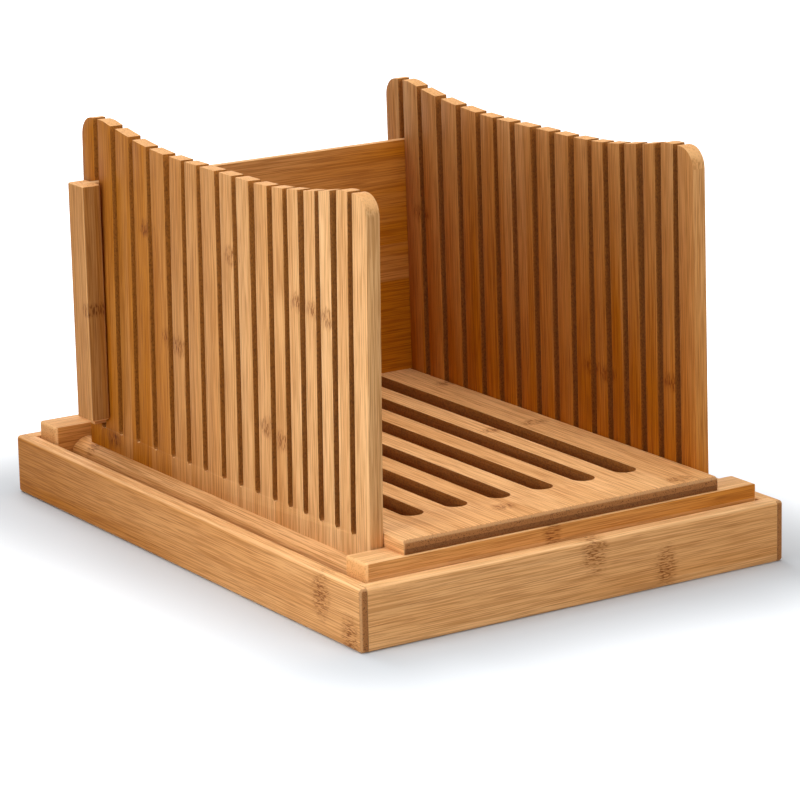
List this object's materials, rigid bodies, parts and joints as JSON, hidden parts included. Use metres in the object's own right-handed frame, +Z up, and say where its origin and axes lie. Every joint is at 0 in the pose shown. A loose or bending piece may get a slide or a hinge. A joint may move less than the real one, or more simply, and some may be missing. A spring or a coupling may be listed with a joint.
{
  "type": "bread slicer guide",
  "caption": "Bamboo bread slicer: slotted cutting board between comb-shaped knife guides on pivoting rods, with a lift-out back plate that locks them upright, standing in a crumb tray",
  "frame": {"origin": "middle of the crumb tray's underside, on the table", "axes": "+X to the right along the front, +Y towards the back plate, +Z up"},
  "size_m": [0.241, 0.336, 0.2018],
  "materials": {
    "bamboo": "sanded and oiled carbonised bamboo, satin",
    "tray_bamboo": "sanded and oiled carbonised bamboo, satin",
    "steel": "zinc-plated steel"
  },
  "bodies": {
    "crumb_tray": {"tray_left_side": "tray_bamboo", "tray_right_side": "tray_bamboo", "tray_front_rail": "tray_bamboo", "tray_rear_rail": "tray_bamboo", "tray_floor": "tray_bamboo"},
    "slicer_base": {"front_batten": "bamboo", "rear_batten": "bamboo", "cutting_board": "bamboo", "front_board_screws": "steel", "rear_board_screws": "steel"},
    "left_guide_assembly": {"left_guide": "bamboo", "left_rod": "bamboo", "left_front_pivot_pin": "steel", "left_rear_pivot_pin": "steel"},
    "right_guide_assembly": {"right_guide": "bamboo", "right_rod": "bamboo", "right_front_pivot_pin": "steel", "right_rear_pivot_pin": "steel"},
    "back_plate_assembly": {"back_plate": "bamboo", "left_end_bar": "bamboo", "right_end_bar": "bamboo"}
  },
  "joints": [
    {"name": "slicer_lift", "type": "slide", "parent": "crumb_tray", "child": "slicer_base", "axis": [0, 0, 1], "range_m": [0, 0.04]},
    {"name": "back_plate_lift", "type": "slide", "parent": "slicer_base", "child": "back_plate_assembly", "axis": [0, 0, 1], "range_m": [0, 0.165]},
    {"name": "left_guide_pivot", "type": "hinge", "parent": "slicer_base", "child": "left_guide_assembly", "pos_m": [-0.09355, 0, 0.0219], "axis": [0, -1, 0], "range_deg": [0, 0.8]},
    {"name": "right_guide_pivot", "type": "hinge", "parent": "slicer_base", "child": "right_guide_assembly", "pos_m": [0.09355, 0, 0.0219], "axis": [0, 1, 0], "range_deg": [0, 0.8]}
  ]
}
